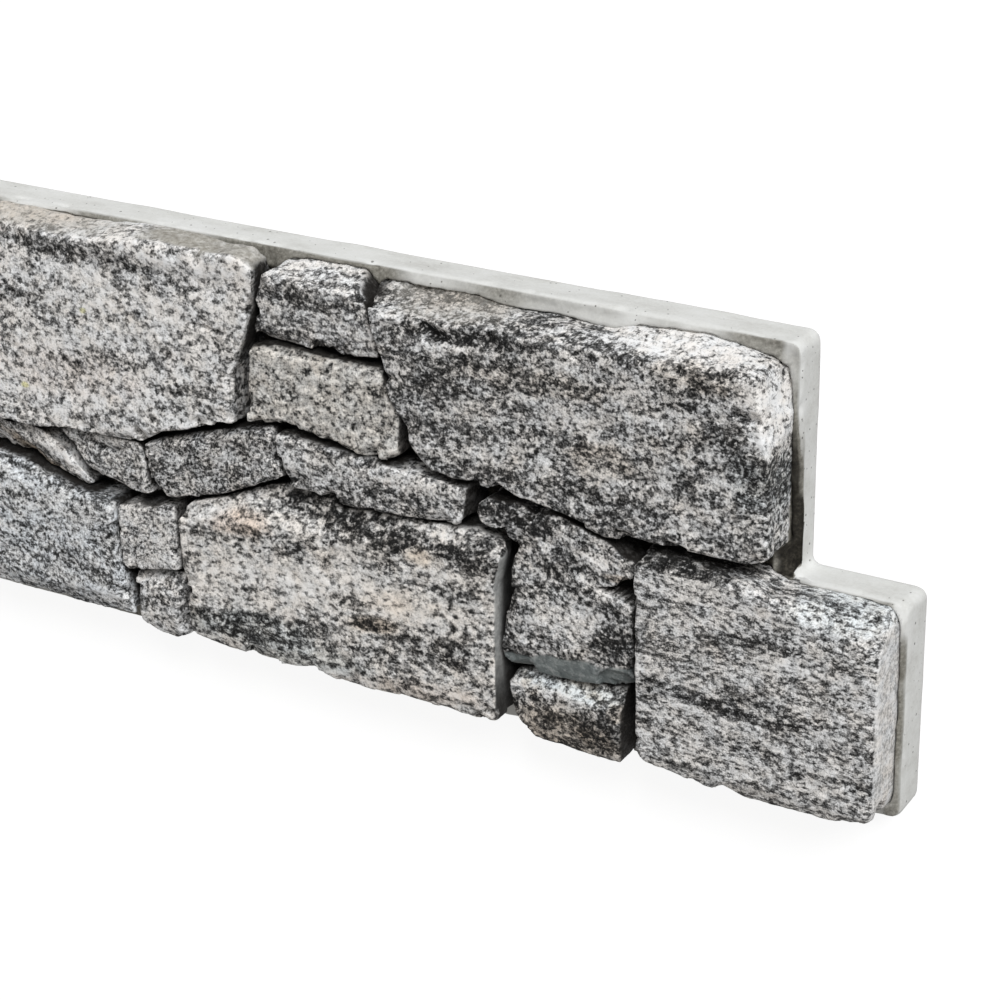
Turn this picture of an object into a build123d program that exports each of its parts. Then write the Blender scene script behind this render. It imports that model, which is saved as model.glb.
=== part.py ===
from build123d import *
import os

os.makedirs("parts", exist_ok=True)

# Backing plate: two courses of equal length, the upper one set back by one step
panel_length = 600
step = 50
upper_height = 100
lower_height = 98
backing_thickness = 19
corner_radius = 5
inner_corner_radius = 4
front_arris_radius = 1.5
back_arris_radius = 1.5

# How the stones sit in the plate and how far their faces stand out of it
seat_depth = 3.5
proud = 20
end_margin = 3.7

# Datum lines of the panel drawing. Its zero is at the right end of the lower course,
# on the line between the courses, and on the front face of the plate.
TOP = upper_height
FOOT = -lower_height
UPPER_LEFT = -panel_length
UPPER_RIGHT = -step
LOWER_LEFT = step - panel_length
LOWER_RIGHT = 0

half_length = panel_length / 2
back_plane = Plane(origin=(half_length, 0, 0))
front_plane = Plane(origin=(half_length, 0, backing_thickness))
seat_plane = Plane(origin=(half_length, 0, backing_thickness - seat_depth))


def facet(first, second, third):
    """Plane through three points of the panel drawing, its normal towards the viewer."""
    a = front_plane.from_local_coords(Vector(*first))
    b = front_plane.from_local_coords(Vector(*second))
    c = front_plane.from_local_coords(Vector(*third))
    normal = (b - a).cross(c - a)
    if normal.Z < 0:
        normal = -normal
    return Plane(origin=a, z_dir=normal)


def stone(name, outline, facets):
    """One stone: a prism on its seat, dressed back to its face and bevel planes."""
    with BuildPart() as piece:
        with BuildSketch(seat_plane):
            with BuildLine():
                Polyline(*outline, close=True)
            make_face()
        extrude(amount=seat_depth + 1.5 * proud)
        for plane in facets:
            split(bisect_by=plane, keep=Keep.BOTTOM)
    piece.part.label = name
    export_step(piece.part, f"parts/{name}.step")
    return piece.part


stones = []

# Upper course, from the right end to the left end
stones.append(stone(
    "upper_right_stone",
    [
        (-209, 21), (-186, 19), (-158, 16), (-127, 8), (-100, 10), (UPPER_RIGHT - 12, 9.5),
        (UPPER_RIGHT - 4.5, 13.5), (UPPER_RIGHT - 4.5, TOP - 50), (UPPER_RIGHT - 3, TOP - 31),
        (UPPER_RIGHT - 4.5, TOP - 12), (UPPER_RIGHT - 11, TOP - 8), (-90, TOP - 3.5), (-118, TOP - 4.5),
        (-132, TOP - 8.5), (-184, TOP - 7.5), (-206, TOP - 3.5), (-246.5, TOP - 4),
        (-239, TOP - 13), (-230, 61), (-227.5, 51), (-217, 38), (-216, 30),
    ],
    [
        facet((-230, TOP - 14, proud + 1.5), (-60, TOP - 10, proud + 1.5), (-140, 15, proud - 1.5)),
        facet((-236, TOP - 14, proud + 1), (-70, TOP - 11, proud + 1), (-150, TOP - 5, 0)),
        facet(
            (UPPER_RIGHT - 10, TOP - 12, proud), (UPPER_RIGHT - 6, TOP - 36, proud),
            (UPPER_RIGHT - 3, TOP - 28, 2),
        ),
    ],
))

stones.append(stone(
    "small_top_stone",
    [
        (-300, 63), (-260, 61.5), (-236.5, 64), (-242, TOP - 13), (-249.5, TOP - 3),
        (-278, TOP - 3.5), (-290, TOP - 5.5), (-294.5, TOP - 9), (-297.5, TOP - 20),
    ],
    [
        facet((-300, 65, proud - 5), (-240, 65, proud - 5), (-270, TOP - 8, proud - 3)),
        facet((-294, TOP - 9, proud - 4), (-242, TOP - 9, proud - 4), (-265, TOP - 3, 0)),
    ],
))

stones.append(stone(
    "pale_stone",
    [
        (-303, 24.5), (-284, 26.5), (-262, 23), (-247, 20), (-231, 20.5), (-226.5, 24),
        (-225.5, 43), (-231, 51), (-235, 60), (-250, 59.5), (-290, 60.5), (-301, 58.5),
    ],
    [
        facet((-302, 26, proud - 1.5), (-228, 24, proud - 2), (-265, 59, proud - 2.5)),
        facet((-300, 57.5, proud - 2.5), (-240, 57, proud - 2.5), (-270, 60.5, proud - 7)),
    ],
))

stones.append(stone(
    "upper_left_stone",
    [
        (-501, -1), (-420, -0.5), (-405, 2), (-363, 3), (-352, 9.5), (-310, 22), (-309.5, 45),
        (-304.5, 63), (-301, TOP - 20), (-300, TOP - 12.5), (-309, TOP - 9.5), (-330, TOP - 6.5),
        (-350, TOP - 4.5), (-501, TOP - 2.5),
    ],
    [
        facet((-490, TOP - 5, proud + 0.5), (-300, TOP - 8, proud - 0.5), (-400, 5, proud + 1)),
        facet((-490, TOP - 6, proud), (-300, TOP - 8, proud), (-400, TOP - 2.5, 0)),
    ],
))

stones.append(stone(
    "upper_end_stone",
    [
        (UPPER_LEFT + end_margin, 8), (UPPER_LEFT + 2 * end_margin, 2), (-503.5, 1.5), (-503, 40),
        (-504, TOP - 4), (UPPER_LEFT + 2 * end_margin, TOP - 4), (UPPER_LEFT + end_margin, TOP - 9),
    ],
    [
        facet((-590, 10, proud - 1), (-510, 10, proud), (-550, TOP - 10, proud - 0.5)),
        facet((-590, TOP - 7, proud - 1), (-510, TOP - 7, proud - 1), (-550, TOP - 3.5, 0)),
    ],
))

# Thin stones that level the two courses, from left to right
stones.append(stone(
    "wedge_stone",
    [
        (LOWER_LEFT + end_margin, -19.5), (-434, -20.5), (-419, -24.5), (-403, -28.5), (-397.5, -27.5),
        (-398, -24), (-403, -20), (-409, -13), (-416, -7.5), (-424, -4), (LOWER_LEFT + end_margin, -3.5),
    ],
    [
        facet((-480, -5, proud - 5), (-441, -6, proud - 5), (-405, -22, proud - 7)),
        facet((-441, -6, proud - 5), (-408, -21, proud - 6), (-445, -19, proud - 13)),
    ],
))

stones.append(stone(
    "left_levelling_stone",
    [
        (-412, -2.5), (-402, -11), (-396, -19.5), (-385, -24.5), (-367, -26), (-360.5, -25),
        (-360, -19), (-361.5, -12), (-362.5, -4), (-365, 0.5), (-403, -0.5),
    ],
    [
        facet((-405, -3, proud - 6), (-363, -3, proud - 3), (-380, -24, proud - 3.5)),
        facet((-395, -18, proud - 5), (-365, -22, proud - 3), (-385, -25, proud - 10)),
    ],
))

stones.append(stone(
    "middle_levelling_stone",
    [
        (-361, -3), (-359.5, -10.5), (-357, -15.5), (-352, -20), (-346, -21.5), (-338, -19.5), (-320, -14),
        (-300, -5.5), (-287, 1), (-290, 10), (-291.5, 20), (-293.5, 22.5),
        (-311, 17.5), (-341, 9), (-357, 3.5), (-361.5, 1.5),
    ],
    [
        facet((-355, -5, proud - 2), (-292, 15, proud - 1.5), (-340, -18, proud - 2)),
        facet((-355, 2.5, proud - 2.5), (-295, 20.5, proud - 2.5), (-325, 14, proud - 8)),
    ],
))

stones.append(stone(
    "right_levelling_stone",
    [
        (-282, -2.5), (-285, 5), (-288, 12), (-289, 18), (-287.5, 22), (-284, 24.5), (-262, 21), (-247, 18),
        (-212, 19), (-193, 17.5), (-194, 8), (-196, -1), (-201, -3), (-231, -4), (-261, -6.5), (-268, -2.5),
    ],
    [
        facet((-285, 10, proud - 1.5), (-200, 10, proud - 2), (-240, -4, proud - 2)),
        facet((-280, 20, proud - 2), (-200, 14.5, proud - 2), (-240, 18.5, proud - 7)),
    ],
))

# Lower course, from left to right
stones.append(stone(
    "lower_left_stone",
    [
        (LOWER_LEFT + end_margin, FOOT + 13), (-430, FOOT + 12), (-400, FOOT + 10), (-380, FOOT + 13),
        (-373.5, FOOT + 12.5), (-374.5, FOOT + 20), (-378, -67), (-380.5, -60), (-381, -32),
        (-403, -30), (-419, -26), (-434, -22), (LOWER_LEFT + end_margin, -21),
    ],
    [
        facet((-530, -40, proud), (-390, -40, proud), (-450, FOOT + 15, proud + 0.5)),
        facet((-500, -24.5, proud + 0.5), (-390, -34.5, proud + 0.5), (-440, -22.5, proud - 4.5)),
        facet((-500, FOOT + 20, proud), (-390, FOOT + 20, proud), (-450, FOOT + 11, proud - 4)),
    ],
))

stones.append(stone(
    "square_stone",
    [
        (-379.5, -60), (-375, -63), (-346, -57), (-347, -26), (-360, -29), (-378, -32), (-379.5, -34),
    ],
    [
        facet((-378, -58, proud - 2.5), (-348, -55, proud - 1.5), (-360, -32, proud - 2.5)),
    ],
))

stones.append(stone(
    "left_foot_stone",
    [
        (-370.5, FOOT + 10), (-361.5, FOOT + 5), (-353.5, FOOT + 4), (-346.5, FOOT + 7), (-347, FOOT + 18),
        (-345.5, -60), (-362, -63), (-376, -66.5), (-372.5, -73), (-370, FOOT + 17),
    ],
    [
        facet((-370, -72, proud - 4), (-348, -70, proud - 2.5), (-358, FOOT + 14, proud - 2.5)),
        facet((-370, -71, proud - 4), (-348, -67, proud - 3), (-360, -63, proud - 9)),
        facet((-368, FOOT + 15, proud - 3), (-348, FOOT + 15, proud - 3), (-356, FOOT + 4, proud - 6.5)),
    ],
))

stones.append(stone(
    "lower_middle_stone",
    [
        (-338, FOOT + 12), (-320, FOOT + 8.5), (-295, FOOT + 6.5), (-269, FOOT + 9), (-261, FOOT + 6.5),
        (-225, FOOT + 9), (-187, FOOT + 7), (-178.5, FOOT + 9), (-178.5, -60), (-181, -25), (-179, -8),
        (-190, -4.5), (-210, -6), (-240, -7.5), (-259, -9.5), (-268, -5.5), (-285, -5), (-300, -8.5),
        (-320, -17), (-337, -22), (-342, -27), (-342, -40), (-340, -65),
    ],
    [
        facet((-335, -30, proud + 1), (-185, -20, proud + 1), (-250, FOOT + 20, proud + 0.5)),
        facet((-330, -27, proud + 1), (-190, -14, proud + 1), (-255, -8, proud - 8)),
        facet((-330, FOOT + 17, proud + 0.5), (-185, FOOT + 15, proud + 0.5), (-260, FOOT + 7, proud - 2)),
    ],
))

stones.append(stone(
    "nosed_stone",
    [
        (-177, -59.5), (-173, -62), (-143, -61), (-118.5, -58), (-114, -58.5), (-114, -19), (-121, -17.5),
        (-123, -13.5), (-114, -8), (-113.5, -2), (-125, 4), (-129, 6), (-142, 9.5), (-158, 13.5),
        (-184, 12), (-188, 8.5), (-189, 4.5), (-186.5, 0.5), (-176, -2), (-168, -5.5),
        (-171, -12.5), (-171.5, -26), (-175, -41),
    ],
    [
        facet((-170, -30, proud - 2), (-116, -30, proud - 1.5), (-150, 5, proud - 3)),
        facet((-174, -52, proud - 2), (-116, -50, proud - 2), (-145, -61, proud - 5.5)),
    ],
))

stones.append(stone(
    "right_foot_stone",
    [
        (-175, -72), (-172.5, FOOT + 16), (-169.5, FOOT + 10), (-162, FOOT + 3), (-128, FOOT + 1.2),
        (-121, FOOT + 2), (-120, FOOT + 8), (-119.6, -70), (-121, -61.5), (-143, -63.5),
        (-166, -64.5), (-172, -66),
    ],
    [
        facet((-170, -72, proud - 4), (-122, -72, proud - 2), (-145, FOOT + 12, proud - 2)),
        facet((-168, -72, proud - 3), (-122, -70, proud - 3), (-145, -64, proud - 10)),
        facet((-168, FOOT + 14, proud - 2), (-122, FOOT + 12, proud - 2), (-145, FOOT + 2, proud - 5)),
    ],
))

stones.append(stone(
    "lower_right_stone",
    [
        (-110, FOOT + 14), (-107, FOOT + 9.5), (-95, FOOT + 7.5), (-82, FOOT + 4.5), (-50, FOOT + 3.5),
        (-12, FOOT + 4.5), (LOWER_RIGHT - 5, FOOT + 8), (LOWER_RIGHT - end_margin, FOOT + 13),
        (LOWER_RIGHT - end_margin, -9), (LOWER_RIGHT - 8, -3), (-28, -1.8), (UPPER_RIGHT - 2, -1.5),
        (UPPER_RIGHT - 12, 1.8), (-85, 4), (-109, 4.3), (-111.5, 2),
    ],
    [
        facet((-105, -20, proud + 2), (-10, -30, proud + 2), (-60, FOOT + 15, proud + 1.5)),
        facet((-60, -1, proud + 1), (-5, -15, proud + 1), (-9, -3, proud - 11)),
        facet((-105, 1.5, proud + 2), (-62, -1.5, proud + 2), (-85, 4, proud - 1)),
        facet((-100, FOOT + 14, proud + 2), (-10, FOOT + 12, proud + 2), (-55, FOOT + 4, proud - 1)),
    ],
))

# Cast backing plate, hollowed where the stones are bedded in it
with BuildPart() as backing_plate:
    with BuildSketch(back_plane) as courses:
        with BuildLine():
            Polyline(
                (UPPER_LEFT, 0), (LOWER_LEFT, 0), (LOWER_LEFT, FOOT), (LOWER_RIGHT, FOOT),
                (LOWER_RIGHT, 0), (UPPER_RIGHT, 0), (UPPER_RIGHT, TOP), (UPPER_LEFT, TOP), close=True,
            )
        make_face()
        bed_corners = courses.vertices().group_by(Axis.Y)[1].sort_by(Axis.X)
        end_corners = courses.vertices().group_by(Axis.Y)[0] + courses.vertices().group_by(Axis.Y)[2]
        fillet(end_corners + bed_corners[:1] + bed_corners[-1:], corner_radius)
        bed_corners = courses.vertices().group_by(Axis.Y)[2].sort_by(Axis.X)
        fillet(bed_corners[1:3], inner_corner_radius)
    extrude(amount=backing_thickness)
    fillet(backing_plate.faces().sort_by(Axis.Z)[-1].edges(), front_arris_radius)
    fillet(backing_plate.faces().sort_by(Axis.Z)[0].edges(), back_arris_radius)
    for bedded in stones:
        add(bedded, mode=Mode.SUBTRACT)
backing_plate.part.label = "backing_plate"
export_step(backing_plate.part, "parts/backing_plate.step")
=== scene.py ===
import math

import bmesh
import bpy
import numpy as np
from mathutils import Matrix, Vector
from mathutils.bvhtree import BVHTree


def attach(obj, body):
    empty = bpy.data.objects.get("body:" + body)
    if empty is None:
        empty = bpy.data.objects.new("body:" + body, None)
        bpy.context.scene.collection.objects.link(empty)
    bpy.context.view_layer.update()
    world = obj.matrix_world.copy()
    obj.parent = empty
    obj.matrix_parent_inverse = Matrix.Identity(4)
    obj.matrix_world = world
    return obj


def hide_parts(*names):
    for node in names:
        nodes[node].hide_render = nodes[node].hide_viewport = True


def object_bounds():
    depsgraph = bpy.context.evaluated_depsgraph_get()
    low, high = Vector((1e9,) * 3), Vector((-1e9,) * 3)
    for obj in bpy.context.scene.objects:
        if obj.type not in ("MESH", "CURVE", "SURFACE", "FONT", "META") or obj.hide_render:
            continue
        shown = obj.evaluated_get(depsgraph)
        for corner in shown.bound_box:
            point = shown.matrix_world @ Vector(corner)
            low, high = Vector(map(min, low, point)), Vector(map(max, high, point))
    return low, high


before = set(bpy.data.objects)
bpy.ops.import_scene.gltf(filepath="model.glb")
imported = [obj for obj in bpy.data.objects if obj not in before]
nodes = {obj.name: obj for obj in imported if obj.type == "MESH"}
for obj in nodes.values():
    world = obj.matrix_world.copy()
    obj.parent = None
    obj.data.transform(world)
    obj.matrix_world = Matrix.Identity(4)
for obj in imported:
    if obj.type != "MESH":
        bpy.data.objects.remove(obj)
cad_low, cad_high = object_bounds()
scene = bpy.context.scene

# Measures in millimetres
MM = 0.001
HALF_LENGTH = 300.0
PLATE_FRONT = 19.0
SEAT_CUT = PLATE_FRONT - 2.0
STONE_VOXEL = 0.85
PLATE_VOXEL = 1.35
SEARCH_REACH = 9.0
ARRIS_WEAR = 0.03
BOX_LOW = np.array(cad_low) / MM + 0.03
BOX_HIGH = np.array(cad_high) / MM - 0.03


# Seeded noise, in millimetres

def lattice(ix, iy, iz, seed):
    """Fixed pseudo-random value from -1 to 1 at each whole-number point."""
    h = (ix * 73856093) ^ (iy * 19349663) ^ (iz * 83492791) ^ (seed * 40503 + 977)
    h = h & 0xFFFFFFFF
    h = ((h ^ (h >> 15)) * 0x2C1B3C6D) & 0xFFFFFFFF
    h = ((h ^ (h >> 12)) * 0x297A2D39) & 0xFFFFFFFF
    h = h ^ (h >> 15)
    return h / 2147483647.5 - 1.0


def noise(points, size, seed):
    """Smooth noise from -1 to 1 whose bumps are about the given size."""
    q = points / size
    base = np.floor(q)
    f = q - base
    f = f * f * f * (f * (f * 6 - 15) + 10)
    i = base.astype(np.int64)
    total = np.zeros(len(points))
    for dx in (0, 1):
        wx = f[:, 0] if dx else 1 - f[:, 0]
        for dy in (0, 1):
            wy = wx * (f[:, 1] if dy else 1 - f[:, 1])
            for dz in (0, 1):
                wz = wy * (f[:, 2] if dz else 1 - f[:, 2])
                total += wz * lattice(i[:, 0] + dx, i[:, 1] + dy, i[:, 2] + dz, seed)
    return total


def fractal(points, size, seed, octaves=3, gain=0.5):
    """Several octaves of noise, scaled back to about -1 to 1."""
    total = np.zeros(len(points))
    weight = 1.0
    reach = 0.0
    for k in range(octaves):
        total += weight * noise(points, size / 2 ** k, seed + 31 * k)
        reach += weight
        weight *= gain
    return total / reach * 1.4


def ramp(value, low, high):
    t = np.clip((value - low) / (high - low), 0.0, 1.0)
    return t * t * (3 - 2 * t)


# Meshes

def remeshed(name, voxel):
    """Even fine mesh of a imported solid, as a new mesh in metres."""
    work = bpy.data.objects.new("work", nodes[name].data.copy())
    scene.collection.objects.link(work)
    grid = work.modifiers.new("grid", "REMESH")
    grid.mode = "VOXEL"
    grid.voxel_size = voxel * MM
    grid.adaptivity = 0.0
    depsgraph = bpy.context.evaluated_depsgraph_get()
    mesh = bpy.data.meshes.new_from_object(work.evaluated_get(depsgraph))
    rough = work.data
    bpy.data.objects.remove(work)
    bpy.data.meshes.remove(rough)
    return mesh


def coords(mesh):
    co = np.empty(len(mesh.vertices) * 3)
    mesh.vertices.foreach_get("co", co)
    return co.reshape(-1, 3) / MM


def put_coords(mesh, co):
    mesh.vertices.foreach_set("co", (co * MM).ravel())
    mesh.update()


def vertex_normals(mesh):
    n = np.empty(len(mesh.vertices) * 3)
    mesh.vertex_normals.foreach_get("vector", n)
    return n.reshape(-1, 3)


def edge_ends(mesh):
    e = np.empty(len(mesh.edges) * 2, np.int32)
    mesh.edges.foreach_get("vertices", e)
    e = e.reshape(-1, 2)
    return e[:, 0], e[:, 1]


def relax(values, ends, rounds, share=0.5):
    """Averages each vertex with its neighbours."""
    a, b = ends
    count = len(values)
    degree = np.maximum(np.bincount(a, minlength=count) + np.bincount(b, minlength=count), 1)
    out = values.copy()
    for _ in range(rounds):
        mean = np.empty_like(out)
        for k in range(out.shape[1]):
            column = np.ascontiguousarray(out[:, k])
            mean[:, k] = np.bincount(a, weights=column[b], minlength=count)
            mean[:, k] += np.bincount(b, weights=column[a], minlength=count)
        out += share * (mean / degree[:, None] - out)
    return out


def turned(points, degrees):
    """Points turned in the panel's plane so that a stone's layers run along X."""
    c, s = math.cos(math.radians(degrees)), math.sin(math.radians(degrees))
    out = points.copy()
    out[:, 0] = c * points[:, 0] + s * points[:, 1]
    out[:, 1] = c * points[:, 1] - s * points[:, 0]
    return out


def paint(mesh, name, values):
    layer = mesh.attributes.new(name, "FLOAT", "POINT")
    layer.data.foreach_set("value", values.astype(np.float32))


def close_rim(bm, mesh):
    """Closes the open rim with one face and puts the result in the mesh."""
    rim = [e for e in bm.edges if e.is_boundary]
    bmesh.ops.holes_fill(bm, edges=rim, sides=0)
    bmesh.ops.recalc_face_normals(bm, faces=bm.faces)
    bm.to_mesh(mesh)
    bm.free()


def cut_off(mesh, level):
    """Cuts off what lies deep in the seat, with any crumb that the cut sets free."""
    bm = bmesh.new()
    bm.from_mesh(mesh)
    bmesh.ops.bisect_plane(bm, geom=bm.verts[:] + bm.edges[:] + bm.faces[:], dist=1e-6,
                           plane_co=(0, 0, level * MM), plane_no=(0, 0, 1), clear_inner=True)
    waiting = [max(bm.verts, key=lambda v: v.co.z)]
    reached = set(waiting)
    while waiting:
        v = waiting.pop()
        for e in v.link_edges:
            w = e.other_vert(v)
            if w not in reached:
                reached.add(w)
                waiting.append(w)
    crumbs = [v for v in bm.verts if v not in reached]
    bmesh.ops.delete(bm, geom=crumbs, context="VERTS")
    close_rim(bm, mesh)


def plain_back(mesh, inner):
    """Puts one flat face in place of the fine mesh of the back."""
    bm = bmesh.new()
    bm.from_mesh(mesh)
    gone = [v for v, marked in zip(bm.verts, inner.tolist()) if marked]
    bmesh.ops.delete(bm, geom=gone, context="VERTS")
    for e in bm.edges:
        if e.is_boundary:
            for v in e.verts:
                v.co.z = 0
    close_rim(bm, mesh)


stone_names = [name for name in nodes if name != "backing_plate"]


def surface_tree(names):
    """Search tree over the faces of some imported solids, in millimetres."""
    points = []
    faces = []
    for name in names:
        mesh = nodes[name].data
        start = len(points)
        points.extend(tuple(v.co / MM) for v in mesh.vertices)
        faces.extend(tuple(start + k for k in f.vertices) for f in mesh.polygons)
    return BVHTree.FromPolygons(points, faces)


def distances(tree, points, reach):
    """Distance from each point to the nearest face, no more than the reach."""
    out = np.full(len(points), float(reach))
    for k, point in enumerate(points.tolist()):
        found = tree.find_nearest(point, reach)
        if found[3] is not None:
            out[k] = found[3]
    return out


def oval(points, x, y, rx, ry, tilt):
    """Share from 0 at the rim to 1 inside an oval given in drawing millimetres."""
    c, q = math.cos(math.radians(tilt)), math.sin(math.radians(tilt))
    dx = points[:, 0] - (x + HALF_LENGTH)
    dy = points[:, 1] - y
    u = (c * dx + q * dy) / rx
    v = (c * dy - q * dx) / ry
    return ramp(1 - np.sqrt(u * u + v * v), 0.0, 0.75)


def within(points, corners):
    """Depth of each point inside a convex outline given anticlockwise in drawing millimetres."""
    best = np.full(len(points), 1e9)
    for k, (x, y) in enumerate(corners):
        x2, y2 = corners[(k + 1) % len(corners)]
        across = np.array([y - y2, x2 - x]) / math.hypot(x2 - x, y2 - y)
        best = np.minimum(best, (points[:, :2] - np.array([x + HALF_LENGTH, y])) @ across)
    return best


def chipped(co, sharp, outward, seed, share, depth):
    """Breaks small flat flakes off the arrises."""
    pick = np.random.default_rng(seed)
    order = np.nonzero(sharp > 0.45)[0]
    count = int(len(order) * share)
    co = co.copy()
    for k in pick.choice(order, count, replace=False):
        away = outward[k] + pick.normal(0, 0.28, 3)
        away /= np.linalg.norm(away)
        bite = depth * pick.uniform(0.35, 1.0) ** 1.5
        reach = pick.uniform(2.5, 7.5)
        high = (co - co[k]) @ away + bite
        close = np.linalg.norm((co - co[k]) * np.array([0.6, 1.0, 1.0]), axis=1) < reach
        cut = np.where(close & (high > 0), high, 0.0)
        co -= away * cut[:, None]
    return co


def rough_stone(name, look):
    """Split stone: worn and chipped arrises, layered and grainy faces, inside the panel's box."""
    seed = look["seed"]
    mesh = remeshed(name, STONE_VOXEL)
    ends = edge_ends(mesh)
    base = relax(coords(mesh), ends, 1)
    soft = relax(base, ends, 6)
    round_ = relax(soft, ends, 34)
    inward = round_ - base
    crest = relax(base, ends, 24)
    put_coords(mesh, round_)
    outward = vertex_normals(mesh)
    sharp = -np.einsum("ij,ij->i", inward, outward) * (base[:, 2] > PLATE_FRONT + 2)
    share = ramp(fractal(base, 8.5, seed + 5), 0.3, 0.75) * look.get("chip", 0.15)
    for x, y, rx, ry, tilt, amount in look.get("soften", []):
        share = np.maximum(share, amount * oval(base, x, y, rx, ry, tilt))
    co = base + (soft - base) * ARRIS_WEAR
    co = co + (round_ - co) * share[:, None]
    co = chipped(co, sharp, outward, seed, look.get("flakes", 0.011), look.get("flake", 1.15))
    put_coords(mesh, co)
    normal = vertex_normals(mesh)
    layer = turned(co, look.get("angle", 0.0))
    layer = layer / np.array([1.5, 1.0, 1.0])
    swell = fractal(layer, 40.0, seed + 11, 2)
    lumps = fractal(layer, 12.0, seed + 17, 2)
    grit = fractal(layer, 4.2, seed + 23, 3, 0.65)
    pits = ramp(fractal(layer, 6.5, seed + 41, 2), 0.3, 0.8)
    side = ramp(1 - np.abs(normal[:, 2]), 0.25, 0.8)
    depth = 0.8 * look.get("swell", 1.0) * swell * (1 - 0.8 * side)
    depth += look.get("lumps", 0.45) * lumps * (1 - 0.35 * side)
    depth += look.get("grit", 0.34) * grit
    depth -= look.get("pits", 0.5) * (pits - 0.12)
    depth += look.get("grow", 0.25)
    hold = np.ones(len(co))
    sawn = np.zeros(len(co))
    for direction, level in look.get("sawn", []):
        facing = ramp(normal @ np.array(direction), 0.72, 0.93)
        sawn = np.maximum(sawn, facing)
        hold -= facing * (1 - level)
    slab = np.zeros(len(co))
    if "slab" in look:
        x0, y0, x1, y1 = look["slab"]
        line = y0 + (y1 - y0) * (co[:, 0] - HALF_LENGTH - x0) / (x1 - x0)
        line = line + 1.6 * noise(co, 9, seed + 71)
        slab = ramp(line - co[:, 1], -0.4, 0.4)
        hold *= 1 - 0.75 * slab
    depth = depth * np.clip(hold, 0.05, 1.0)
    for x, y, rx, ry, tilt, amount in look.get("dents", []):
        depth -= amount * oval(co, x, y, rx, ry, tilt) * (1 - side)
    room = np.maximum(cad_high[2] / MM - co[:, 2], 0.05)
    upward = np.maximum(depth * normal[:, 2], 0.0)
    co = co + normal * (depth * room / (room + upward))[:, None]
    for x, y, rx, ry, tilt, dx, dy in look.get("push", []):
        lean = look.get("lean", 34.0) if dx == 0 else 34.0
        share = oval(co, x, y, rx, ry, tilt) * ramp(co[:, 2], PLATE_FRONT, lean)
        co[:, 0] += dx * share
        co[:, 1] += dy * share
    # Each hollow sinks to just above the plate's front; its walls and floor get painted shadow.
    hollow_shadow = np.zeros(len(co))
    for corners in look.get("hollows", []):
        inside = within(co, corners)
        sunk = ramp(inside, -0.4, 1.3) * (co[:, 2] > PLATE_FRONT + 3)
        co[:, 2] += sunk * (PLATE_FRONT + 3 - co[:, 2])
        dark = ramp(inside, -1.8, -0.5) * ramp(-co[:, 2], -36.2, -34.4)
        hollow_shadow = np.maximum(hollow_shadow, dark)
    for x, y, rx, ry, tilt, dz in look.get("rise", []):
        co[:, 2] += dz * oval(co, x, y, rx, ry, tilt) * ramp(co[:, 2], 25.0, 31.0)
    co = np.clip(co, BOX_LOW, BOX_HIGH)
    put_coords(mesh, co)
    # Height of the fine relief without the rounding of the arrises; the material paints raised bumps
    # lighter and pits darker by it, as painted highlight and shade.
    plain = relax(co, ends, 24)
    bumps = np.einsum("ij,ij->i", co - plain - 0.85 * (base - crest), normal)
    # Painted shade in the joints: sides close to another stone darken below the face, where shade falls
    # between the stones.
    others = surface_tree([other for other in stone_names if other != name])
    near = np.nonzero((normal[:, 2] < 0.75) & (co[:, 2] > PLATE_FRONT - 3))[0]
    gap = np.full(len(co), SEARCH_REACH)
    gap[near] = distances(others, co[near], SEARCH_REACH)
    rim, foot = look.get("shadow", (38.6, 34.0))
    gap_shade = ramp(-gap, -8.5, -3.5) * ramp(-co[:, 2], -rim, -foot)
    gap_shade *= ramp(-normal[:, 2], -0.75, -0.35)
    gap_shade = np.maximum(gap_shade, hollow_shadow)
    # Painted shade on the sides that face each listed shade direction, below the face.
    for direction, amount in look.get("shade", []):
        facing = ramp(normal @ np.array(direction), 0.55, 0.85)
        facing = facing * ramp(-co[:, 2], -rim - 0.4, -foot - 1.5)
        gap_shade = np.maximum(gap_shade, amount * facing)
    # Listed patches of painted shade on the right-facing sides.
    for x, y, rx, ry, tilt, amount in look.get("shade_patches", []):
        patch = oval(co, x, y, rx, ry, tilt)
        gap_shade = np.maximum(gap_shade, amount * patch * ramp(normal[:, 0], 0.5, 0.85))
    paint(mesh, "relief_light_and_shade", np.clip(0.5 + bumps * 0.55, 0, 1))
    paint(mesh, "sawn", sawn)
    paint(mesh, "slab", slab)
    paint(mesh, "gap_shade", gap_shade)
    smear = np.zeros(len(co))
    for x, y, rx, ry, amount in look.get("mortar", []):
        facing = ramp(normal[:, 1], 0.45, 0.8) * ramp(-co[:, 2], -39.5, -36.0)
        smear = np.maximum(smear, amount * facing * ramp(oval(co, x, y, rx, ry, 0), 0.0, 0.5))
    paint(mesh, "smear", np.clip(smear * (1 + 0.5 * fractal(co, 7, seed + 83, 3, 0.6)), 0, 1))
    cut_off(mesh, SEAT_CUT)
    for face in mesh.polygons:
        face.use_smooth = True
    return mesh


# Materials

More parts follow.
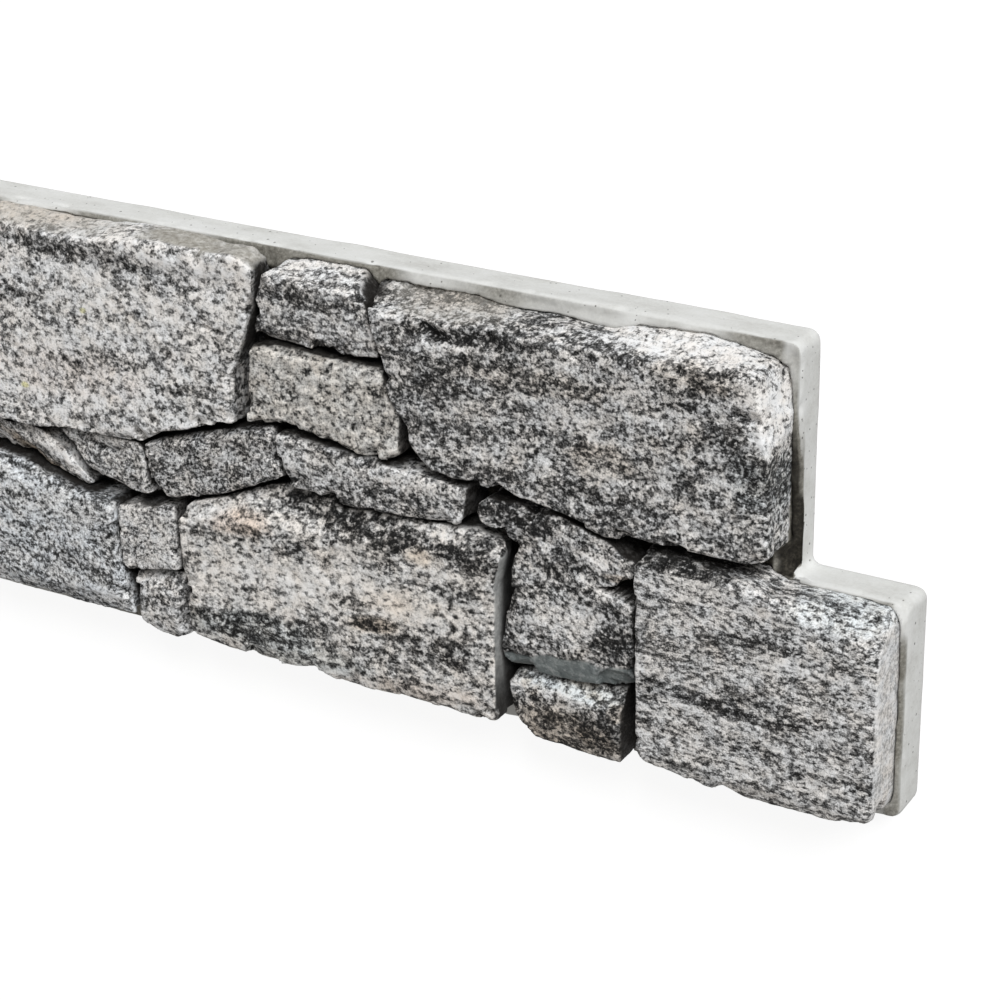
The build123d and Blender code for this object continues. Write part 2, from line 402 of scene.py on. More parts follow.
class Nodes:
    """Small helper that adds shader nodes and joins them."""

    def __init__(self, name):
        self.material = bpy.data.materials.new(name)
        self.material.use_nodes = True
        self.tree = self.material.node_tree
        self.tree.nodes.clear()
        self.output = self.tree.nodes.new("ShaderNodeOutputMaterial")

    def join(self, value, socket):
        if isinstance(value, bpy.types.NodeSocket):
            self.tree.links.new(value, socket)
        else:
            socket.default_value = value

    def add(self, kind, settings=None, **inputs):
        node = self.tree.nodes.new(kind)
        for key, value in (settings or {}).items():
            setattr(node, key, value)
        for key, value in inputs.items():
            self.join(value, node.inputs[key.replace("_", " ")])
        return node

    def math(self, operation, first, second=0.0, third=None, clamp=False):
        node = self.tree.nodes.new("ShaderNodeMath")
        node.operation = operation
        node.use_clamp = clamp
        self.join(first, node.inputs[0])
        self.join(second, node.inputs[1])
        if third is not None:
            self.join(third, node.inputs[2])
        return node.outputs[0]

    def vector(self, operation, first, second):
        node = self.tree.nodes.new("ShaderNodeVectorMath")
        node.operation = operation
        self.join(first, node.inputs[0])
        if operation == "SCALE":
            self.join(second, node.inputs["Scale"])
        else:
            self.join(second, node.inputs[1])
        return node.outputs["Value"] if operation == "LENGTH" else node.outputs["Vector"]

    def span(self, value, low, high, to_low=0.0, to_high=1.0):
        node = self.add("ShaderNodeMapRange", {"interpolation_type": "SMOOTHSTEP"})
        self.join(value, node.inputs["Value"])
        self.join(low, node.inputs["From Min"])
        self.join(high, node.inputs["From Max"])
        self.join(to_low, node.inputs["To Min"])
        self.join(to_high, node.inputs["To Max"])
        return node.outputs["Result"]

    def noise(self, place, size, detail=2.0, roughness=0.5, colour=False):
        node = self.add("ShaderNodeTexNoise", Vector=place, Scale=1.0 / size, Detail=detail,
                        Roughness=roughness)
        return node.outputs["Color"] if colour else node.outputs["Fac"]

    def cells(self, place, size):
        node = self.add("ShaderNodeTexVoronoi", Vector=place, Scale=1.0 / size)
        return node

    def mix(self, share, first, second, blend="MIX"):
        node = self.tree.nodes.new("ShaderNodeMix")
        node.data_type = "RGBA"
        node.blend_type = blend
        self.join(share, node.inputs[0])
        self.join(first, node.inputs[6])
        self.join(second, node.inputs[7])
        return node.outputs[2]

    def ramp(self, value, stops):
        node = self.tree.nodes.new("ShaderNodeValToRGB")
        band = node.color_ramp
        while len(band.elements) > 1:
            band.elements.remove(band.elements[-1])
        for k, (place, colour) in enumerate(stops):
            element = band.elements[0] if k == 0 else band.elements.new(place)
            element.position = place
            element.color = colour
        self.join(value, node.inputs["Fac"])
        return node.outputs["Color"]


def srgb(r, g, b):
    """Colour written as it is seen, 0 to 255."""
    out = []
    for v in (r, g, b):
        v = v / 255
        out.append(v / 12.92 if v <= 0.04045 else ((v + 0.055) / 1.055) ** 2.4)
    return (out[0], out[1], out[2], 1.0)


def millimetres(n, degrees=0.0):
    """The object's own coordinates in millimetres, turned so that layers run along X."""
    place = n.add("ShaderNodeTexCoord").outputs["Object"]
    node = n.add("ShaderNodeMapping", Vector=place)
    node.inputs["Rotation"].default_value = (0, 0, math.radians(-degrees))
    node.inputs["Scale"].default_value = (1000, 1000, 1000)
    return node.outputs["Vector"]


def stretched(n, place, factors):
    return n.vector("MULTIPLY", place, factors)


def zone_mask(n, wobble, zone):
    """Soft oval patch: centre and half sizes in drawing millimetres, and its tilt."""
    x, y, rx, ry, tilt = zone
    place = n.add("ShaderNodeTexCoord").outputs["Object"]
    node = n.add("ShaderNodeMapping", {"vector_type": "TEXTURE"}, Vector=place)
    node.inputs["Location"].default_value = ((x + HALF_LENGTH) * MM, y * MM, 0)
    node.inputs["Rotation"].default_value = (0, 0, math.radians(tilt))
    node.inputs["Scale"].default_value = (rx * MM, ry * MM, 10.0)
    reach = n.vector("LENGTH", n.vector("ADD", node.outputs["Vector"], wobble), (0, 0, 0))
    return n.span(reach, 1.35, 0.55)


# How strongly the soft mottling, dark grains and fine flecks of the granite show
SOFT, DARK, FINE = 0.95, 0.25, 0.14


def granite(name, look):
    """Granite: pale soft-edged minerals with dark grains that gather in layers."""
    n = Nodes(name)
    flat = millimetres(n, look.get("angle", 0.0))
    half = (0.5, 0.5, 0.5)
    drift = n.noise(flat, 30, 1, 0.5, colour=True)
    bent = n.vector("ADD", flat, n.vector("SCALE", n.vector("SUBTRACT", drift, half), 3.5))
    run = look.get("run", 2.2)
    grain = look.get("grain", 1.0)
    layer = stretched(n, bent, (1 / look.get("stretch", 1.15), 1.0, 1.0))
    cluster = n.noise(stretched(n, bent, (1 / run, 1.0, 1.0)), 6.0 * grain, 3, 0.6)
    bands = n.noise(stretched(n, bent, (1 / (run * 3.5), 1.0, 0.6)), look.get("band", 9.0), 3, 0.55)
    relief_light_and_shade = n.add("ShaderNodeAttribute", {"attribute_name": "relief_light_and_shade"}).outputs["Fac"]
    sawn = n.add("ShaderNodeAttribute", {"attribute_name": "sawn"}).outputs["Fac"]
    slab = n.add("ShaderNodeAttribute", {"attribute_name": "slab"}).outputs["Fac"]
    gap_shade = n.add("ShaderNodeAttribute", {"attribute_name": "gap_shade"}).outputs["Fac"]
    share = n.math("MULTIPLY_ADD", cluster, look.get("cluster", 2.0), look.get("flecks", 0.42))
    share = n.math("MULTIPLY_ADD", bands, look.get("bands", 1.6), share)
    share = n.math("SUBTRACT", share, (look.get("cluster", 2.0) + look.get("bands", 1.6)) / 2)
    soft = n.noise(layer, 3.0 * grain, 5, 0.72)
    tone = n.math("MULTIPLY_ADD", soft, SOFT, look.get("level", 0.86))
    tone = n.math("SUBTRACT", tone, SOFT / 2)
    # Painted highlight on raised bumps and painted shade in pits.
    tone = n.math("MULTIPLY_ADD", relief_light_and_shade, look.get("relief_light_and_shade", 0.36), tone)
    tone = n.math("SUBTRACT", tone, look.get("relief_light_and_shade", 0.36) / 2)
    wobble = n.vector("SUBTRACT", n.noise(flat, 14, 3, 0.6, colour=True), half)
    wobble = n.vector("SCALE", wobble, 1.1)
    for zone in look.get("zones", []):
        mask = zone_mask(n, wobble, zone[:5])
        tone = n.math("MULTIPLY_ADD", mask, zone[5] * 0.25, tone)
        share = n.math("MULTIPLY_ADD", mask, zone[5] * -0.9, share)
    tone = n.math("MULTIPLY_ADD", sawn, look.get("sawn_tone", 0.0), tone)
    share = n.math("MULTIPLY_ADD", sawn, look.get("sawn_tone", 0.0) * -0.6, share)
    share = n.math("MINIMUM", n.math("MAXIMUM", share, 0.03), 0.82)
    limit = n.math("MULTIPLY_ADD", share, 0.24, 0.38)
    medium = n.noise(layer, 1.9 * grain, 2, 0.6)
    dark = n.span(n.math("SUBTRACT", medium, limit), 0.06, -0.06)
    fine = n.noise(flat, 0.85 * grain, 2, 0.65)
    fleck = n.span(n.math("SUBTRACT", fine, limit), 0.09, -0.09)
    small = n.add("ShaderNodeSeparateColor", Color=n.cells(flat, 0.75 * grain).outputs["Color"])
    tone = n.math("MULTIPLY_ADD", share, -0.18, tone)
    tone = n.math("MULTIPLY_ADD", dark, -DARK, tone)
    tone = n.math("MULTIPLY_ADD", fleck, -FINE, tone)
    tone = n.math("MULTIPLY_ADD", n.math("SUBTRACT", medium, 0.5), DARK * 3.6, tone)
    tone = n.math("MULTIPLY_ADD", n.math("SUBTRACT", fine, 0.5), FINE * 4.2, tone)
    tone = n.math("MULTIPLY_ADD", small.outputs[1], 0.15, tone)
    tone = n.math("SUBTRACT", tone, 0.075)
    glint = n.span(small.outputs[2], 0.975, 0.985)
    tone = n.math("MULTIPLY_ADD", glint, 0.25, tone)
    if "calm" in look:
        even = n.math("SUBTRACT", look["calm"], tone)
        tone = n.math("MULTIPLY_ADD", even, n.math("MULTIPLY", sawn, 0.5), tone)
    warm = look.get("warm", (1.0, 0.985, 0.965))
    stops = []
    for place, value in ((0.0, 12), (0.15, 36), (0.35, 92), (0.55, 152), (0.75, 201), (1.0, 242)):
        r, g, b, _ = srgb(value, value, value)
        stops.append((place, (r * warm[0], g * warm[1], b * warm[2], 1.0)))
    colour = n.ramp(tone, stops)
    hue = n.span(n.noise(flat, 9, 4, 0.65), 0.36, 0.64)
    cast = n.mix(hue, (0.985, 1.0, 1.025, 1.0), (1.02, 0.995, 0.975, 1.0))
    colour = n.mix(1.0, colour, cast, "MULTIPLY")
    stain = n.span(n.noise(flat, 20, 4, 0.6), 0.52, 0.68)
    colour = n.mix(n.math("MULTIPLY", stain, look.get("stained", 0.3)), colour,
                   (0.86, 0.78, 0.69, 1.0), "MULTIPLY")
    for zone in look.get("tints", []):
        mask = n.math("MULTIPLY", zone_mask(n, wobble, zone[:5]), zone[6])
        colour = n.mix(mask, colour, zone[5], "MULTIPLY")
    if "slab" in look:
        slate = n.ramp(n.noise(flat, 5, 5, 0.7), [
            (0.3, srgb(84, 92, 93)), (0.7, srgb(146, 153, 152))])
        colour = n.mix(n.math("MULTIPLY", slab, 0.8), colour, slate)
    if "mortar" in look:
        smear = n.add("ShaderNodeAttribute", {"attribute_name": "smear"}).outputs["Fac"]
        paste = n.ramp(n.noise(flat, 2.4, 5, 0.7), [
            (0.3, srgb(128, 123, 113)), (0.5, srgb(164, 160, 152)), (0.7, srgb(204, 202, 196))])
        colour = n.mix(smear, colour, paste)
    if "smooth" in look:
        low, high = look["smooth"]
        slate = n.ramp(n.noise(flat, 6, 5, 0.65), [(0.3, low), (0.7, high)])
        colour = n.mix(n.math("MULTIPLY", sawn, 0.85), colour, slate)
    # Painted shade, near black, in the joints between stones, in the hollows and on the shaded sides.
    painted_shade = n.math("MULTIPLY", gap_shade, n.span(n.noise(flat, 6, 3, 0.6), 0.2, 0.55, 0.88, 0.985))
    colour = n.mix(painted_shade, colour, srgb(24, 21, 18))
    height = n.math("MULTIPLY_ADD", n.noise(flat, 0.8, 3, 0.65), 1.0, n.math("MULTIPLY", dark, -0.4))
    height = n.math("MULTIPLY_ADD", n.noise(layer, 2.4, 3, 0.6), 2.4, height)
    height = n.math("MULTIPLY", height, n.span(n.math("MAXIMUM", sawn, slab), 0.0, 1.0, 1.0, 0.25))
    bump = n.add("ShaderNodeBump", Height=height, Strength=0.5, Distance=0.0004)
    surface = n.add("ShaderNodeBsdfPrincipled", Normal=bump.outputs["Normal"])
    n.join(colour, surface.inputs["Base Color"])
    n.join(n.span(small.outputs[2], 0.0, 1.0, 0.92, 0.65), surface.inputs["Roughness"])
    surface.inputs["Specular IOR Level"].default_value = 0.3
    n.join(surface.outputs["BSDF"], n.output.inputs["Surface"])
    return n.material


def concrete(name):
    n = Nodes(name)
    flat = millimetres(n)
    grime_and_shade = n.add("ShaderNodeAttribute", {"attribute_name": "grime_and_shade"}).outputs["Fac"]
    cloud = n.noise(stretched(n, flat, (0.4, 1.0, 1.0)), 12, 5, 0.65)
    fine = n.noise(flat, 1.3, 3, 0.65)
    pale = n.ramp(n.math("MULTIPLY_ADD", fine, 0.3, n.math("MULTIPLY", cloud, 0.7)), [
        (0.28, srgb(196, 195, 191)), (0.5, srgb(217, 217, 214)), (0.72, srgb(229, 229, 228))])
    sandy = n.ramp(n.noise(flat, 1.6, 4, 0.7), [
        (0.3, srgb(96, 93, 85)), (0.5, srgb(126, 123, 115)), (0.7, srgb(158, 155, 147))])
    deep = n.ramp(n.noise(flat, 2.2, 5, 0.7), [
        (0.3, srgb(17, 15, 12)), (0.5, srgb(40, 37, 31)), (0.72, srgb(74, 70, 62))])
    smudge = n.span(n.noise(stretched(n, flat, (0.3, 1.0, 1.0)), 7, 5, 0.7), 0.56, 0.72)
    pale = n.mix(n.math("MULTIPLY", smudge, 0.5), pale, (0.84, 0.83, 0.81, 1.0), "MULTIPLY")
    # Pale concrete turns sandy, then near black, as the painted value rises: sandy grime on the front
    # strips, near black as painted shade between the stones and in the worn hollow.
    colour = n.mix(n.span(grime_and_shade, 0.1, 0.55), pale, sandy)
    colour = n.mix(n.span(grime_and_shade, 0.55, 0.95), colour, deep)
    hole = 0.0
    for size, chosen, widest in ((5.0, 0.55, 0.12), (2.4, 0.66, 0.17)):
        pore = n.cells(flat, size)
        pick = n.add("ShaderNodeSeparateColor", Color=pore.outputs["Color"])
        radius = n.span(pick.outputs[0], chosen, 1.0, -0.03, widest)
        near = n.math("SUBTRACT", pore.outputs["Distance"], radius)
        hole = n.math("MAXIMUM", hole, n.span(near, 0.03, -0.02))
    # Pores: dented by the bump, with painted shade inside them.
    colour = n.mix(n.math("MULTIPLY", hole, 0.7), colour, srgb(78, 75, 70))
    height = n.math("MULTIPLY_ADD", hole, -2.0, n.math("MULTIPLY", fine, 0.6))
    height = n.math("MULTIPLY_ADD", n.math("MULTIPLY", n.noise(flat, 1.8, 4, 0.7), grime_and_shade), 3.0, height)
    bump = n.add("ShaderNodeBump", Height=height, Strength=0.5, Distance=0.0003)
    surface = n.add("ShaderNodeBsdfPrincipled", Normal=bump.outputs["Normal"])
    n.join(colour, surface.inputs["Base Color"])
    surface.inputs["Roughness"].default_value = 0.85
    surface.inputs["Specular IOR Level"].default_value = 0.25
    n.join(surface.outputs["BSDF"], n.output.inputs["Surface"])
    return n.material


# Stones: how each is layered, worn and coloured

RIGHT = (1.0, 0.0, 0.0)

BROWN = (0.72, 0.60, 0.47, 1.0)
BEIGE = (0.98, 0.88, 0.76, 1.0)
PINK = (1.0, 0.88, 0.80, 1.0)
BLUISH = (0.90, 0.97, 1.0, 1.0)
LICHEN = (0.92, 0.90, 0.45, 1.0)

looks = {
    "upper_right_stone": dict(
        seed=101, slot="grey_granite", angle=2.0, run=2.6, flecks=0.50, level=0.795, grain=1.15,
        bands=1.3,
        zones=[(-112, 96, 50, 6, -4, 0.6), (-195, 84, 31, 4.4, 1, -0.3), (-85, 75, 19, 4.3, -4, -0.3),
               (-73, 60, 15, 3.9, -3, -0.3), (-205, 62, 17, 5.8, 2, -0.2),
               (-60, 45, 11, 12.8, 12, -0.25), (-57, 74, 6, 14, 10, 0.6),
               (-150, 24, 60, 4, 0, -0.15), (-135, 62, 40, 5, 2, 0.1)],
        tints=[(-203, 97, 30, 6.5, 1, BROWN, 0.5), (-130, 41, 16, 9, 2, BEIGE, 0.45),
               (-85, 85, 20, 5, -4, BEIGE, 0.45), (-160, 70, 40, 6, 2, BEIGE, 0.35),
               (-60, 45, 11, 13, 12, BLUISH, 0.5)],
        dents=[(-195, 82, 55, 5, 0, 1.6)], push=[(-219, 42, 11, 28, 20, -3.5, 0.0)],
        mortar=[(-205, 97, 45, 14, 0.3)]),
    "small_top_stone": dict(
        seed=102, slot="dark_granite", angle=0.0, run=3.0, flecks=0.50, level=0.865, chip=0.05,
        flake=0.6, grain=1.1,
        zones=[(-272, 94, 28, 4, 0, 0.1), (-276, 84, 34, 4, 0, -0.3), (-276, 66, 34, 3, 0, -0.3)],
        push=[(-306, 82, 10, 26, 0, -1.7, 0.0)]),
    "pale_stone": dict(
        seed=103, slot="pale_granite", angle=0.0, run=1.4, flecks=0.16, bands=0.3, cluster=1.0,
        grain=1.25, flake=0.7, level=0.71, relief_light_and_shade=0.55, warm=(1.0, 0.965, 0.905), swell=0.7,
        grit=0.55, pits=0.7, shade=[(RIGHT, 0.95)]),
    "upper_left_stone": dict(
        seed=104, slot="grey_granite", angle=6.0, run=1.9, flecks=0.33, level=0.905, grain=1.35,
        bands=0.8, cluster=1.8,
        zones=[(-395, 87, 42, 5.0, 1, -0.35), (-415, 99, 45, 4.0, 1, 0.15),
               (-425, 61, 14, 4.4, 1, -0.3), (-365, 84, 10, 3.8, 1, -0.3),
               (-347, 77, 8, 2.8, 1, -0.25), (-383, 38, 22, 4.3, 6, -0.2),
               (-330, 33, 16, 3.7, 7, -0.25)],
        tints=[(-418, 99, 34, 4.5, 2, BROWN, 0.5), (-425, 19, 2.2, 1.6, 0, LICHEN, 0.8),
               (-388, 61, 2.0, 1.4, 0, LICHEN, 0.7), (-400, 30, 40, 12, 0, PINK, 0.3)],
        dents=[(-322, 64, 15, 1.6, -6, 1.2)], rise=[(-365, 96, 85, 12, 0, 2.0)],
        mortar=[(-320, 97, 50, 16, 1.0), (-425, 99, 70, 16, 0.4)],
        push=[(-300, 84, 16, 44, -12, 2.4, 0.0), (-330, 97, 75, 16, 0, 0.0, 6.0),
              (-425, 100, 45, 9, 0, 0.0, 1.5), (-298, 91, 26, 17, 0, 1.2, 0.0),
              (-298, 91, 26, 17, 0, 0.0, 5.0)],
        sawn=[(RIGHT, 0.35)], sawn_tone=-0.12, shade=[(RIGHT, 0.35)], lean=23.0),
    "upper_end_stone": dict(seed=105, slot="grey_granite", angle=4.0, flecks=0.4),
    "wedge_stone": dict(
        seed=106, slot="pale_granite", angle=-31.0, flecks=0.44, level=0.90, stained=0.6, lumps=0.8,
        grit=0.7, pits=0.9, grow=0.0, zones=[(-416, -13, 25, 4, -31, 0.2)],
        tints=[(-430, -21, 22, 6, -31, BROWN, 0.8)]),
    "left_levelling_stone": dict(
        seed=107, slot="grey_granite", angle=-6.0, flecks=0.46, grain=0.9, level=0.85, flake=0.6),
    "middle_levelling_stone": dict(
        seed=108, slot="dark_granite", angle=10.0, flecks=0.48, grain=0.85, level=0.735, bands=0.5,
        swell=0.7, flake=0.6, shadow=(36.5, 31.0)),
    "right_levelling_stone": dict(
        seed=109, slot="grey_granite", angle=3.0, flecks=0.46, level=0.81, grain=1.1,
        shade=[(RIGHT, 0.97)]),
    "lower_left_stone": dict(
        seed=110, slot="grey_granite", angle=-8.0, flecks=0.42, level=0.815, bands=1.2, grain=1.1,
        warm=(0.965, 0.985, 1.0), stained=0.1, shadow=(37.0, 31.0)),
    "square_stone": dict(
        seed=111, slot="grey_granite", angle=20.0, flecks=0.34, grain=0.85, level=0.82, swell=0.6,
        flake=0.5),
    "left_foot_stone": dict(
        seed=112, slot="grey_granite", angle=0.0, flecks=0.42, grain=1.2, flake=0.7),
    "lower_middle_stone": dict(
        seed=113, slot="pale_granite", angle=6.0, run=2.6, flecks=0.36, level=0.835, grain=1.4,
        band=7.0, bands=1.1, stretch=1.35, sawn=[(RIGHT, 0.12)],
        smooth=(srgb(130, 131, 130), srgb(190, 191, 189)), warm=(1.0, 0.97, 0.93),
        shadow=(36.5, 29.5), shade=[(RIGHT, 0.9)], push=[(-176, 0, 14, 62, 0, 4.2, 0.0)],
        flakes=0.008, shade_patches=[(-174, -92, 16, 48, 0, 1.0)],
        # The first three zones are painted shadow: a dark band along the top, under the stones above.
        zones=[(-276, -10, 20, 5, 1, -0.5), (-231, -14, 42, 5, -2, -0.5), (-186, -16, 16, 7, 3, -0.5),
               (-215, -20, 7, 4.6, 8, 0.4), (-294, -50, 51, 12, 9, 0.25), (-226, -45, 21, 8, 9, 0.3),
               (-306, -75, 33, 7.6, 5, -0.35), (-240, -58, 12, 2.6, 6, -0.5),
               (-214, -62, 18, 4.8, 6, -0.35), (-195, -61, 15, 5.7, 6, -0.3)],
        tints=[(-310, -25, 16, 6, 8, PINK, 0.8), (-215, -20, 7, 4.6, 8, BEIGE, 0.6),
               (-226, -45, 21, 8, 9, BEIGE, 0.3), (-279, -84, 34, 7, 7, BLUISH, 0.6),
               (-306, -75, 33, 8, 5, BLUISH, 0.6), (-240, -58, 14, 4, 6, BROWN, 0.6),
               (-215, -84, 30, 5, 5, PINK, 0.4)]),
    "nosed_stone": dict(
        seed=114, slot="dark_granite", angle=-14.0, run=1.6, flecks=0.52, level=0.765, bands=1.0,
        lumps=0.6, grain=1.15, shade=[((0.3, 0.95, 0.0), 0.97)],
        zones=[(-167, 6, 20, 6.7, -7, -0.4), (-131, -3, 8, 4.3, -13, 0.6), (-122, -38, 9, 7, 0, -0.4),
               (-150, -34, 20, 9, 4, 0.25), (-172, -28, 6, 20, 0, -0.25)],
        tints=[(-121, -10, 7, 2.2, -2, BROWN, 0.6)], dents=[(-146, -12, 12, 6, 20, 1.4)],
        hollows=[((-131, -16.5), (-110, -22.5), (-110, -10.0))],
        push=[(-140, -60, 48, 10, 6, 0.0, -2.6)], slab=(-175, -56.2, -112.6, -49.6)),
    "right_foot_stone": dict(
        seed=115, slot="dark_granite", angle=0.0, run=1.3, flecks=0.60, level=0.785, stained=0.8,
        grain=1.2, flakes=0.003, flake=0.6, push=[(-122, -63, 30, 9, 0, 0.0, -3.0)],
        shade=[(RIGHT, 0.99)], zones=[(-147, -68, 28, 4, 0, 0.45), (-130, -82, 12, 12, 0, -0.3)],
        tints=[(-147, -88, 30, 13, 0, BROWN, 0.6), (-147, -67, 30, 4, 0, BLUISH, 0.8)]),
    "lower_right_stone": dict(
        seed=116, slot="grey_granite", angle=1.0, run=4.5, flecks=0.42, grain=0.95, band=5.0,
        flakes=0.007, stretch=1.7, cluster=1.5, level=0.83,
        sawn=[(RIGHT, 0.12)], sawn_tone=0.12, calm=0.86, soften=[(-4, -60, 9, 60, 3, 0.85)],
        # The first zone is a painted shadow: a dark band along the top, under the upper right stone.
        zones=[(-90, 4, 26, 4.5, 0, -0.6), (-22, -3, 20, 6.6, -2, 0.15), (-60, -23, 24, 2.8, 4, -0.4),
               (-75, -54, 20, 3.8, -6, -0.5), (-45, -56, 10, 2.0, 5, -0.4),
               (-103, -53, 6, 5.3, 14, -0.4), (-8, -77, 5, 5.2, 16, -0.3)],
        tints=[(-22, -3, 22, 8, -2, BLUISH, 0.6)]),
}

for name, look in looks.items():
    mesh = rough_stone(name, look)
    mesh.name = name + ".rough"
    piece = bpy.data.objects.new(name + ".rough", mesh)
    scene.collection.objects.link(piece)
    mesh.materials.clear()
    mesh.materials.append(granite(name + ".granite", look))
    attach(piece, "root")
    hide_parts(name)


OUTLINE = [(-300, 0), (-250, 0), (-250, -98), (300, -98), (300, 0), (250, 0), (250, 100), (-300, 100)]


def margin(points):
    """Distance of each point from the plate's outline, in the panel's plane."""
    best = np.full(len(points), 1e9)
    for k, start in enumerate(OUTLINE):
        a = np.array(start, float)
        d = np.array(OUTLINE[(k + 1) % len(OUTLINE)], float) - a
        q = points[:, :2] - a
        t = np.clip(q @ d / (d @ d), 0, 1)
        best = np.minimum(best, np.linalg.norm(q - t[:, None] * d, axis=1))
    return best


def cast_plate():
    """Backing plate with soft wavy arrises and a rough front between the stones."""
    mesh = remeshed("backing_plate", PLATE_VOXEL)
    ends = edge_ends(mesh)
    base = relax(coords(mesh), ends, 1)
    co = relax(base, ends, 2)
    put_coords(mesh, co)
    normal = vertex_normals(mesh)
    inset = margin(co)
    front = ramp(normal[:, 2], 0.5, 0.9) * ramp(co[:, 2], PLATE_FRONT - 1.6, PLATE_FRONT - 0.6)
    wave = fractal(co, 34, 7, 3, 0.6) * 0.6 - 0.45
    nicks = ramp(fractal(co, 9, 15, 3, 0.6), 0.2, 0.9) * ramp(co[:, 2], PLATE_FRONT - 5, PLATE_FRONT - 0.5)
    rough = fractal(co, 5.0, 9, 3, 0.6) * 0.5 - 0.1
    depth = np.minimum(wave - 1.2 * nicks, 0) * (1 - front) + rough * front
    back = ramp(-co[:, 2], -3.0, -0.2) * ramp(np.abs(normal[:, 2]), 0.3, 0.8)
    depth *= 1 - back
    normal[:, 2] *= ramp(co[:, 2], 0.2, 3.0)
    outer = np.nonzero((front > 0.1) & (inset < 12.0))[0]
    gap = np.full(len(co), SEARCH_REACH)
    gap[outer] = distances(surface_tree(stone_names), co[outer], SEARCH_REACH)
    fillet = ramp(-gap, -4.5, -0.4) * front * ramp(-inset, -11.5, -8.0)
    co = co + normal * depth[:, None]
    co[:, 2] += fillet * (2.2 + 1.2 * fractal(co, 16, 33, 2))
    worn = ramp(co[:, 0], 243.0, 246.5) * ramp(co[:, 2], 11, 15) * (co[:, 1] > 2)
    worn *= ramp(-co[:, 1], -78, -12) * np.clip(1 + 0.4 * fractal(co, 12, 19, 2), 0, 1.3)
    co[:, 2] -= 6.0 * worn * ramp(co[:, 2], 10, 19)
    lump = oval(co, -50.5, 7.5, 6.5, 5.0, -35) * ramp(co[:, 2], PLATE_FRONT - 2, PLATE_FRONT - 0.5)
    co[:, 2] += 3.5 * lump
    co = np.clip(co, BOX_LOW * np.array([1, 1, 0]), BOX_HIGH)
    put_coords(mesh, co)
    x, y = co[:, 0], co[:, 1]
    # Painted shade on the front between the stones, from a few millimetres inside the outline, farther in
    # along the bottom margin.
    shade_start = np.where(y < -75, 13.0, 7.0)
    deep = ramp(inset, shade_start, shade_start + 4.0)
    top_strip = 0.35 + 0.35 * fractal(co, 38, 13, 2)
    end_strip = 0.3 + 0.62 * ramp(-y, -88, -45) + 0.1 * fractal(co, 9, 14, 2)
    low_strip = 0.5 - 0.3 * ramp(y, -26, -8) + 0.12 * fractal(co, 9, 14, 2)
    side_strip = np.where(y > 0, end_strip, low_strip)
    by_side = ramp(np.where(y > 0, x - 240.5, x - 291.0), 0.0, 3.0)
    grime_and_shade = np.maximum(deep, top_strip + (side_strip - top_strip) * by_side)
    # Painted shadow in the worn hollow at the right end.
    grime_and_shade = np.maximum(front * grime_and_shade, np.clip(worn * 1.4, 0, 0.97))
    grime_and_shade = grime_and_shade * (1 - 0.75 * lump)
    paint(mesh, "grime_and_shade", np.clip(grime_and_shade, 0, 1))
    plain_back(mesh, (co[:, 2] < 0.4) & (inset > 4.5))
    for face in mesh.polygons:
        face.use_smooth = True
    return mesh


mesh = cast_plate()
mesh.name = "backing_plate.cast"
plate = bpy.data.objects.new("backing_plate.cast", mesh)
scene.collection.objects.link(plate)
mesh.materials.clear()
mesh.materials.append(concrete("backing_plate.concrete"))
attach(plate, "root")
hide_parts("backing_plate")

# Floor, light and camera

bm = bmesh.new()
bmesh.ops.create_grid(bm, x_segments=1, y_segments=1, size=6.0)
ground = bpy.data.meshes.new("floor")
bm.to_mesh(ground)
bm.free()
floor = bpy.data.objects.new("floor", ground)
floor.location = (0, 0, -0.0004)
scene.collection.objects.link(floor)
n = Nodes("floor")
seen = n.add("ShaderNodeLightPath")
shade = n.add("ShaderNodeBsdfDiffuse")
shade.inputs["Color"].default_value = (0.5, 0.5, 0.5, 1)
veil = n.add("ShaderNodeBsdfDiffuse")
veil.inputs["Color"].default_value = (0.30, 0.30, 0.30, 1)
glow = n.add("ShaderNodeEmission")
glow.inputs["Strength"].default_value = 0.84
pale = n.add("ShaderNodeAddShader")
n.join(veil.outputs[0], pale.inputs[0])
n.join(glow.outputs[0], pale.inputs[1])
direct = n.math("MAXIMUM", seen.outputs["Is Camera Ray"], seen.outputs["Is Glossy Ray"])
direct = n.math("MAXIMUM", direct, seen.outputs["Is Transmission Ray"])
both = n.add("ShaderNodeMixShader")
n.join(direct, both.inputs[0])
n.join(shade.outputs[0], both.inputs[1])
n.join(pale.outputs[0], both.inputs[2])
n.join(both.outputs[0], n.output.inputs["Surface"])
ground.materials.append(n.material)

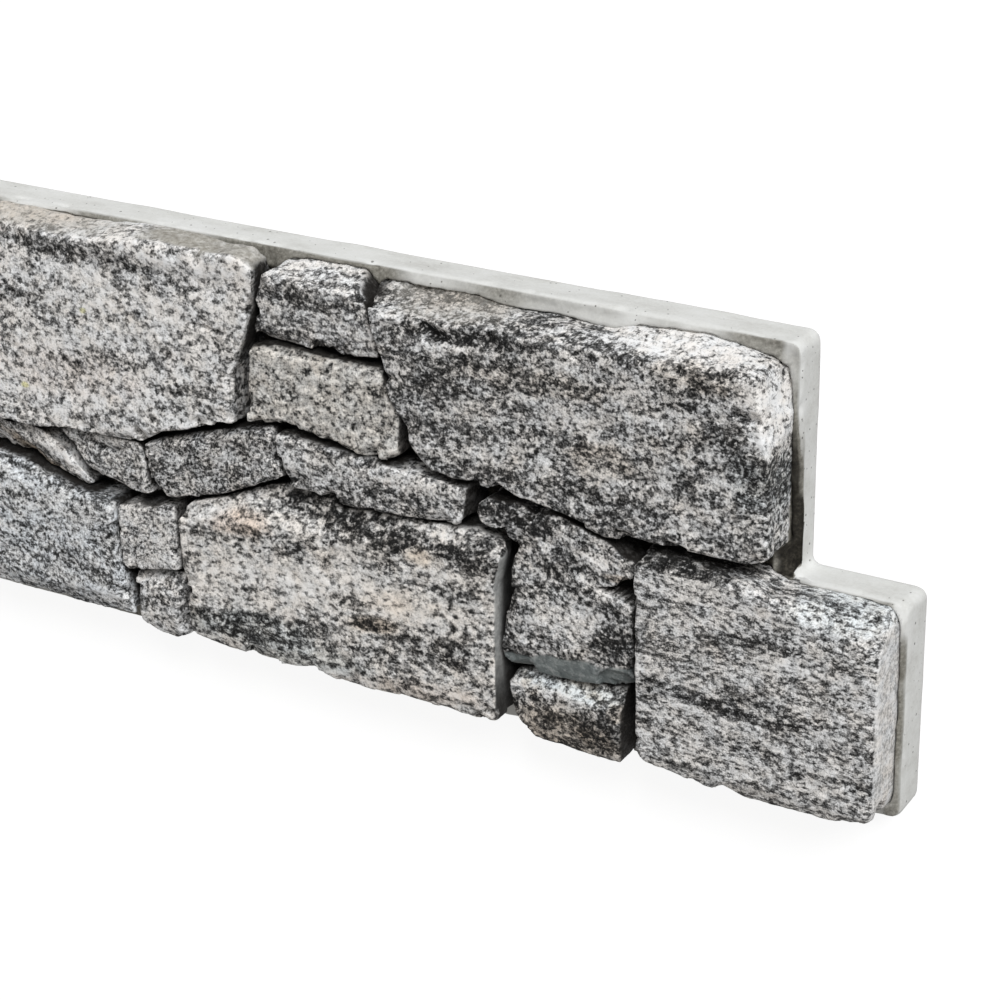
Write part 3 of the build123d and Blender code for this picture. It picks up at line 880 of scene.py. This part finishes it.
world = bpy.data.worlds.new("studio")
scene.world = world
world.use_nodes = True
tree = world.node_tree
tree.nodes.clear()
out = tree.nodes.new("ShaderNodeOutputWorld")
fill = tree.nodes.new("ShaderNodeBackground")
fill.inputs["Color"].default_value = (1.0, 0.985, 0.965, 1)
fill.inputs["Strength"].default_value = 0.35
white = tree.nodes.new("ShaderNodeBackground")
white.inputs["Color"].default_value = (1, 1, 1, 1)
white.inputs["Strength"].default_value = 1.0
path = tree.nodes.new("ShaderNodeLightPath")
pick = tree.nodes.new("ShaderNodeMixShader")
either = tree.nodes.new("ShaderNodeMath")
either.operation = "MAXIMUM"
tree.links.new(path.outputs["Is Camera Ray"], either.inputs[0])
tree.links.new(path.outputs["Is Transmission Ray"], either.inputs[1])
tree.links.new(either.outputs[0], pick.inputs[0])
tree.links.new(fill.outputs[0], pick.inputs[1])
tree.links.new(white.outputs[0], pick.inputs[2])
tree.links.new(pick.outputs[0], out.inputs["Surface"])

key = bpy.data.lights.new("key", "SUN")
key.energy = 2.74
key.angle = math.radians(28)
key.color = (0.975, 0.99, 1.0)
lamp = bpy.data.objects.new("key", key)
scene.collection.objects.link(lamp)
towards = Vector((0.465, 0.717, 0.517)).normalized()
lamp.rotation_euler = towards.to_track_quat("Z", "Y").to_euler()

turn, lift, roll = math.radians(31.054), math.radians(23.620), math.radians(-0.772)
back = Vector((math.sin(turn) * math.cos(lift), math.sin(lift), math.cos(turn) * math.cos(lift)))
right = Vector((math.cos(turn), 0, -math.sin(turn)))
up = back.cross(right)
right_rolled = right * math.cos(roll) + up * math.sin(roll)
up_rolled = up * math.cos(roll) - right * math.sin(roll)
lens = bpy.data.cameras.new("camera")
lens.sensor_width = 36.0
lens.sensor_fit = "HORIZONTAL"
lens.lens = 103.495
lens.clip_start = 0.05
camera = bpy.data.objects.new("camera", lens)
scene.collection.objects.link(camera)
place = Matrix((right_rolled, up_rolled, back)).transposed().to_4x4()
place.translation = Vector((0.685372, 0.489963, 0.969994))
camera.matrix_world = place
scene.camera = camera

scene.view_settings.view_transform = "Standard"
